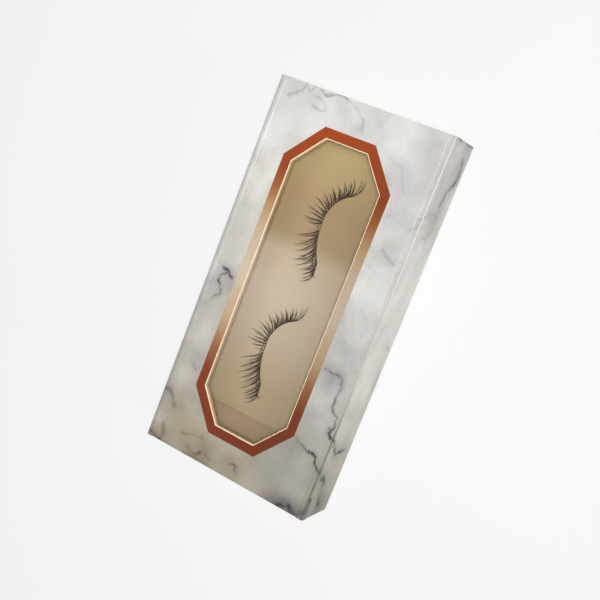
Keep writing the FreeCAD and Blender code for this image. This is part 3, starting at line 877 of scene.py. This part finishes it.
def paper_bend(name, outside, across, cell):
    """A bent strip of printed paper along the case. outside is its outer line of (y, z) points."""
    line = np.array(outside)
    step = np.gradient(line, axis=0)
    normal = np.stack([-step[:, 1], step[:, 0]], axis=1)
    normal /= np.linalg.norm(normal, axis=1)[:, None]
    middle = np.array([0.0, case_top / 2])
    facing = np.sign(np.sum(normal * (middle - line), axis=1))
    inside = line + normal * facing[:, None] * paper
    loop = np.concatenate([line, inside[::-1]])
    columns = np.linspace(-case_end, case_end, round(2 * case_end / cell) + 1)
    count = len(loop)
    vertices = [(x, y, z) for x in columns for y, z in loop]
    piece = new_piece(name, vertices, ring_faces(0, len(columns), count), marble_look)
    run = np.concatenate([[0.0], np.cumsum(np.hypot(*np.diff(line, axis=0).T))])
    flow = across[0] + (across[1] - across[0]) * run / run[-1]
    across_sheet = np.tile(np.concatenate([flow, flow[::-1]]), len(columns))
    bare = np.tile(np.arange(count) >= len(line), len(columns))
    print_marble(piece, np.repeat(columns, count), across_sheet, bare)
    return piece


axis_y = case_rear - crease_radius
axis_z = case_top - crease_radius
bend_radius = crease_radius - skin_clearance / 2
side_steps = 6
fold_run = 1.0
# Groove of a crease: distance out from the lid's edge and drop below its top
groove = [(-paper, 0.03), (0.15, 0.04), (0.4, crease_dip), (0.7, 0.03)]


def crease_line(side):
    """Outer line of the paper from the lid's edge over a crease and down, at the front (-1) or rear (1)."""
    line = [(lid_edge + out, case_top - drop) for out, drop in groove]
    line += bend_points((axis_y, axis_z), bend_radius, 90, 0)
    line += [(axis_y + bend_radius, z) for z in np.linspace(axis_z, flap_board_top, side_steps)[1:]]
    return [(side * y, z) for y, z in line]


front_sheet = (-lid_edge, flap_sheet(flap_board_top))
front_crease = paper_bend("front_crease", crease_line(-1), front_sheet, fine_cell)
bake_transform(front_crease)
rear_sheet = (lid_edge, spine_sheet(spine_board_top))
rear_crease = paper_bend("rear_crease", crease_line(1), rear_sheet, coarse_cell)
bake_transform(rear_crease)
rear_fold_line = [(axis_y - fold_run, skin_clearance / 2)]
rear_fold_line += bend_points((axis_y, crease_radius), bend_radius, -90, 0)
rear_fold_line += [(case_rear - skin_clearance / 2, crease_radius + fold_run)]
fold_sheet = (back_sheet(axis_y - fold_run), spine_sheet(crease_radius + fold_run))
rear_fold = paper_bend("rear_fold", rear_fold_line, fold_sheet, coarse_cell)
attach(rear_fold, "base")


# Foil border and window rim

# The foil's rise over the paper, the bare rim inside it and its bevels, each across and down
foil_rise = 0.02
foil_top = case_top + foil_rise
bare_edge = 0.2
inner_bevel = (0.04, 0.03)
outer_bevel = (0.1, 0.08)
# The window rim: its gap over the film, and its rounding as (distance out, drop below the foil)
film_gap = 0.02
rim_rounding = [(-skin_clearance, 0.12), (0.06, 0.05), (bare_edge, 0.04)]


def octagon_ring(name, profile, look):
    """A band round the window. profile is its section as (distance out from the opening, height) points."""
    vertices = [(x, y, z) for grow, z in profile for x, y in octagon(grow)]
    faces = ring_faces(0, len(profile), len(vertices) // len(profile), capped=False)
    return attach(new_piece(name, vertices, faces, look, smooth=False), "lid")


foil_section = [
    (bare_edge, lid_board_top),
    (bare_edge, foil_top - inner_bevel[1]),
    (bare_edge + inner_bevel[0], foil_top),
    (border_width - outer_bevel[0], foil_top),
    (border_width, foil_top - outer_bevel[1]),
]
foil_ring = octagon_ring("foil_ring", foil_section, foil_look)
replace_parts(foil_ring, "foil_border")
edge_section = [(-skin_clearance, pane_top + film_gap)]
edge_section += [(out, foil_top - drop) for out, drop in rim_rounding]
octagon_ring("window_cut_edge", edge_section, edge_look)


# Folded metallic card platform under the clear tray

card_low, card_high = node_box("insert_card")
card_low[2] -= card_fold
card_high[2] -= skin_clearance
card_shape = slab(card_low, card_high, card_cell, card_fold, lambda x, y, z: z < card_low[2] + card_fold)
piece = new_piece("card_platform", *card_shape, card_look)
sheet = piece.modifiers.new("thickness", "SOLIDIFY")
sheet.thickness = card * MM
sheet.offset = -1
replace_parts(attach(piece, "base"), "insert_card")


# Strip lashes

lash_length = lash_inner_radius * lash_inner_angle + lash_outer_radius * lash_outer_angle
lash_seed = 11
thread_radius = 0.1
thread_steps = 160
knot_least = 0.8
knot_swell = 0.4
cluster_count = 39
short_cluster = 0.76
# Bare ends of the band and its bare stretch between two clusters, as shares of its length
end_share = 0.01
bare_share = 0.515
bare_half = 0.02
# The hook of the band at its inner end: share of the length and sideways shift
hook_shares = [0.0, 0.06, 0.12, 0.2, 0.35]
hook_shifts = [0.7, 0.0, -0.55, -0.25, 0.0]
# The fan of the hairs: heading in degrees from +Y towards +X, and reach at shares of the band's length
fan_middle = 21.0
fan_spread = 79.0
fan_rate = 5.5
fan_centre = 0.64
reach_shares = [0.0, 0.1, 0.2, 0.3, 0.38, 0.46, 0.55, 0.62, 0.7, 0.9, 1.0]
reaches = [3.8, 4.9, 5.6, 6.1, 6.5, 6.0, 4.9, 5.1, 4.7, 4.8, 4.6]
# A hair leaves the band on a wider heading than its tip's, by these shares of it
sweep_shares = [0.0, 0.25, 0.5, 0.7]
sweeps = [0.65, 0.5, 0.3, 0.25]
# Every hair: pieces along it, its radii, slope, bulge near the root and upward curl
hair_steps = 8
hair_radius = 0.045
tip_radius = 0.012
hair_slope = 0.56
hair_bulge = 0.18
hair_curl = 1.7
# The core of a cluster, its turn in degrees and its sway in radians
core_radius = 0.14
core_turn = 5
core_reaches = (0.95, 1.1)
core_sway = 0.1
# The finer hairs beside a core
root_scatter = 0.01
tip_scatter = 0.12
short_scatter = 0.5
fine_lengths = (0.5, 0.9)
fine_rises = (0.92, 1.05)
fine_sway = 0.12
fine_widths = (0.8, 1.2)
# Stray short hairs between the clusters, in the same units
stray_count = 24
stray_turn = 22
stray_reaches = (0.3, 0.6)
stray_slope = 0.5
stray_sway = 0.3
stray_width = 0.7
# The long hairs at the outer end
tail_heading = math.radians(122)
tail_spreads = (-0.08, 0.0, 0.08)
tail_root = 0.25
tail_reach = 7.4
tail_loss = 10
tail_rise = 3.2
tail_sweep = 0.25
tail_width = 2.2


def fan(share):
    """Heading in radians, level reach and sweep of the hairs at a share of the band's length."""
    heading = math.radians(fan_middle + fan_spread * math.tanh(fan_rate * (share - fan_centre)))
    reach = float(np.interp(share, reach_shares, reaches))
    return heading, reach, float(np.interp(share, sweep_shares, sweeps))


def lash_point(seat, share):
    """Place (x, y) on a lash band at a share of its length from the inner end."""
    run = share * lash_length - lash_inner_radius * lash_inner_angle
    radius = lash_inner_radius if run < 0 else lash_outer_radius
    side = np.interp(share, hook_shares, hook_shifts)
    x = seat[0] + (radius + side) * math.sin(run / radius)
    y = seat[1] - radius + (radius + side) * math.cos(run / radius)
    return x, y


def tube(vertices, faces, line, radii, sides):
    """Adds a tapered tube along a line of points to a list of vertices and faces."""
    first = len(vertices)
    points = [Vector(point) for point in line]
    for index, (point, radius) in enumerate(zip(points, radii)):
        ahead = points[min(index + 1, len(points) - 1)] - points[max(index - 1, 0)]
        turn = ahead.to_track_quat("Z", "Y")
        for k in range(sides):
            angle = 2 * math.pi * k / sides
            vertices.append(point + turn @ Vector((radius * math.cos(angle), radius * math.sin(angle), 0)))
    faces += ring_faces(first, len(points), sides)


def hair_line(root, heading, reach, rise, sway, sweep):
    """Points of a hair that leaves the band level, then curls upwards and a little sideways to its tip."""
    line = []
    for step in range(hair_steps + 1):
        along = step / hair_steps
        turned = heading * (1 + sweep * (1 - along)) + sway * along
        out = reach * along * (1 + hair_bulge * (1 - along))
        x = root[0] + out * math.sin(turned)
        y = root[1] + out * math.cos(turned)
        line.append((x, y, root[2] + rise * along ** hair_curl))
    return line


def hair_radii(thickness):
    """Radii along a hair that thins to a fine tip."""
    return [thickness * (1 - (step / hair_steps) ** 2) + tip_radius for step in range(hair_steps + 1)]


def cluster(vertices, faces, seat, level, share, size, draw):
    """One spiky cluster: a tapered core and finer hairs that start beside it and lean to its tip."""
    heading, reach, sweep = fan(share)
    heading += math.radians(draw.uniform(-core_turn, core_turn))
    reach = reach * draw.uniform(*core_reaches) * size
    root_x, root_y = lash_point(seat, share)
    tip_x = root_x + reach * math.sin(heading)
    tip_y = root_y + reach * math.cos(heading)
    sway = draw.uniform(-core_sway, core_sway)
    core = hair_line((root_x, root_y, level), heading, reach, hair_slope * reach, sway, sweep)
    tube(vertices, faces, core, hair_radii(core_radius * size), sides=5)
    for _ in range(2 if share > bare_share else 1):
        start = min(max(share + draw.gauss(0, root_scatter), 0), 1)
        x, y = lash_point(seat, start)
        length = draw.uniform(*fine_lengths)
        scatter = tip_scatter + short_scatter * (1 - length)
        aim_x = tip_x + draw.gauss(0, scatter) - x
        aim_y = tip_y + draw.gauss(0, scatter) - y
        own_reach = math.hypot(aim_x, aim_y) * length
        rise = hair_slope * own_reach * draw.uniform(*fine_rises)
        sway = draw.uniform(-fine_sway, fine_sway)
        line = hair_line((x, y, level), math.atan2(aim_x, aim_y), own_reach, rise, sway, sweep)
        tube(vertices, faces, line, hair_radii(hair_radius * draw.uniform(*fine_widths)), sides=4)


def lash(name, seat, seed):
    """One strip lash: a thin knotted band and spiky clusters of curled, tapered hairs."""
    draw = random.Random(seed)
    level = ridge_top + thread_radius
    vertices, faces = [], []
    for index in range(cluster_count):
        share = end_share + (1 - 2 * end_share) * index / (cluster_count - 1)
        if abs(share - bare_share) > bare_half:
            size = short_cluster if index % 2 else 1.0
            cluster(vertices, faces, seat, level, share, size, draw)
    for _ in range(stray_count):
        share = draw.random()
        heading, reach, sweep = fan(share)
        heading += math.radians(draw.uniform(-stray_turn, stray_turn))
        reach *= draw.uniform(*stray_reaches)
        root = (*lash_point(seat, share), level)
        sway = draw.uniform(-stray_sway, stray_sway)
        line = hair_line(root, heading, reach, stray_slope * reach, sway, sweep)
        tube(vertices, faces, line, hair_radii(stray_width * hair_radius), sides=3)
    for spread in tail_spreads:
        root = (*lash_point(seat, 1.0 - tail_root * abs(spread)), level)
        reach = tail_reach - tail_loss * abs(spread)
        line = hair_line(root, tail_heading + spread, reach, tail_rise, 0.0, tail_sweep)
        tube(vertices, faces, line, hair_radii(tail_width * hair_radius), sides=5)
    hairs = new_piece(name + "_fan", vertices, faces, lash_look)
    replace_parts(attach(hairs, "base"), name + "_hairs")
    shares = [step / thread_steps for step in range(thread_steps + 1)]
    knots = [math.cos(math.pi * share * cluster_count) ** 2 for share in shares]
    radii = [thread_radius * (knot_least + knot_swell * knot) for knot in knots]
    vertices, faces = [], []
    tube(vertices, faces, [(*lash_point(seat, share), level) for share in shares], radii, sides=8)
    band = new_piece(name + "_thread", vertices, faces, thread_look)
    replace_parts(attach(band, "base"), name + "_band")


for number, (name, seat) in enumerate(lash_seats.items()):
    lash(name, seat, lash_seed + number)


# Floor, light and camera

room_tone = (240, 240, 240)
room_light = 0.15
floor_white = 0.75
floor_half = 2500
floor_level = -0.05
# Soft lamps: place, target and size in millimetres, and power
soft_lamps = {
    "camera_light": ((40, -107, 268), (0, -3, 17), 40, 0.52),
    "key": ((319, -832, 2021), (0, 0, 10), 400, 11),
}
# Low lights, which reach the case's sides and aren't mirrored: direction and strength
low_lights = {
    "front_fill": ((0, -1, 0.25), 0.55),
    "rear_fill": ((0, 1, 0.07), 1.0),
    "left_fill": ((-1, 0, 0.07), 1.0),
    "right_fill": ((1, 0, 0.07), 1.0),
}
low_light_angle = math.radians(7)


def floor():
    """Plain pale floor. Part of its paleness is for the camera alone, so that it throws little light."""
    look = Look("pale_floor", Specular_IOR_Level=0.1)
    shade = look.shades(look.grain(140, detail=2), (218, 218, 218), (222, 222, 222))
    look.paint(shade, look.grain(60, detail=2), 0.8, 0.9)
    paper_white = look.add("ShaderNodeEmission")
    seen = look.add("ShaderNodeLightPath").outputs["Is Camera Ray"]
    share = look.add("ShaderNodeMath", [(0, seen), (1, floor_white)], operation="MULTIPLY").outputs[0]
    links = [(0, share), (1, look.shader.outputs[0]), (2, paper_white.outputs[0])]
    look.show(look.add("ShaderNodeMixShader", links))
    turns = ((-1, -1), (1, -1), (1, 1), (-1, 1))
    corners = [(x * floor_half, y * floor_half, floor_level) for x, y in turns]
    new_piece("floor", corners, [[0, 1, 2, 3]], look.material, smooth=False)


def hang_lamp(name, kind, power, place, target=(0, 0, 0)):
    """A lamp at a place, facing a target."""
    lamp = bpy.data.lights.new(name, kind)
    lamp.energy = power
    holder = bpy.data.objects.new(name, lamp)
    holder.location = Vector(place) * MM
    holder.rotation_euler = (Vector(target) - Vector(place)).to_track_quat("-Z", "Y").to_euler()
    bpy.context.scene.collection.objects.link(holder)
    return holder


def studio():
    """Even soft light: a lamp at the camera, a far key behind it, faint low lights and a pale room."""
    world = bpy.data.worlds.new("studio")
    world.use_nodes = True
    tree = world.node_tree
    room = tree.nodes["Background"]
    mirrored = tree.nodes.new("ShaderNodeBackground")
    for shade in (room, mirrored):
        shade.inputs["Color"].default_value = rgba(room_tone)
    room.inputs["Strength"].default_value = room_light
    rays = tree.nodes.new("ShaderNodeLightPath")
    seen = tree.nodes.new("ShaderNodeMath")
    seen.operation = "MAXIMUM"
    for index, kind in enumerate(("Is Camera Ray", "Is Glossy Ray")):
        tree.links.new(rays.outputs[kind], seen.inputs[index])
    both = tree.nodes.new("ShaderNodeMixShader")
    for index, node in enumerate((seen, room, mirrored)):
        tree.links.new(node.outputs[0], both.inputs[index])
    tree.links.new(both.outputs[0], tree.nodes["World Output"].inputs["Surface"])
    bpy.context.scene.world = world
    for name, (place, target, size, power) in soft_lamps.items():
        lamp = hang_lamp(name, "AREA", power, place, target).data
        lamp.shape = "SQUARE"
        lamp.size = size * MM
    for name, (direction, strength) in low_lights.items():
        holder = hang_lamp(name, "SUN", strength, direction)
        holder.data.angle = low_light_angle
        holder.visible_glossy = False


floor()
studio()

lens = bpy.data.cameras.new("camera")
lens.sensor_width = camera_sensor
lens.lens = camera_lens
lens.clip_start, lens.clip_end = camera_clip
camera = bpy.data.objects.new("camera", lens)
back = (camera_eye - camera_target).normalized()
right = camera_up.cross(back).normalized()
turn = Matrix((right, back.cross(right), back)).transposed().to_4x4()
camera.matrix_world = Matrix.Translation(camera_eye * MM) @ turn
bpy.context.scene.collection.objects.link(camera)
bpy.context.scene.camera = camera
bpy.context.scene.view_settings.view_transform = "Standard"
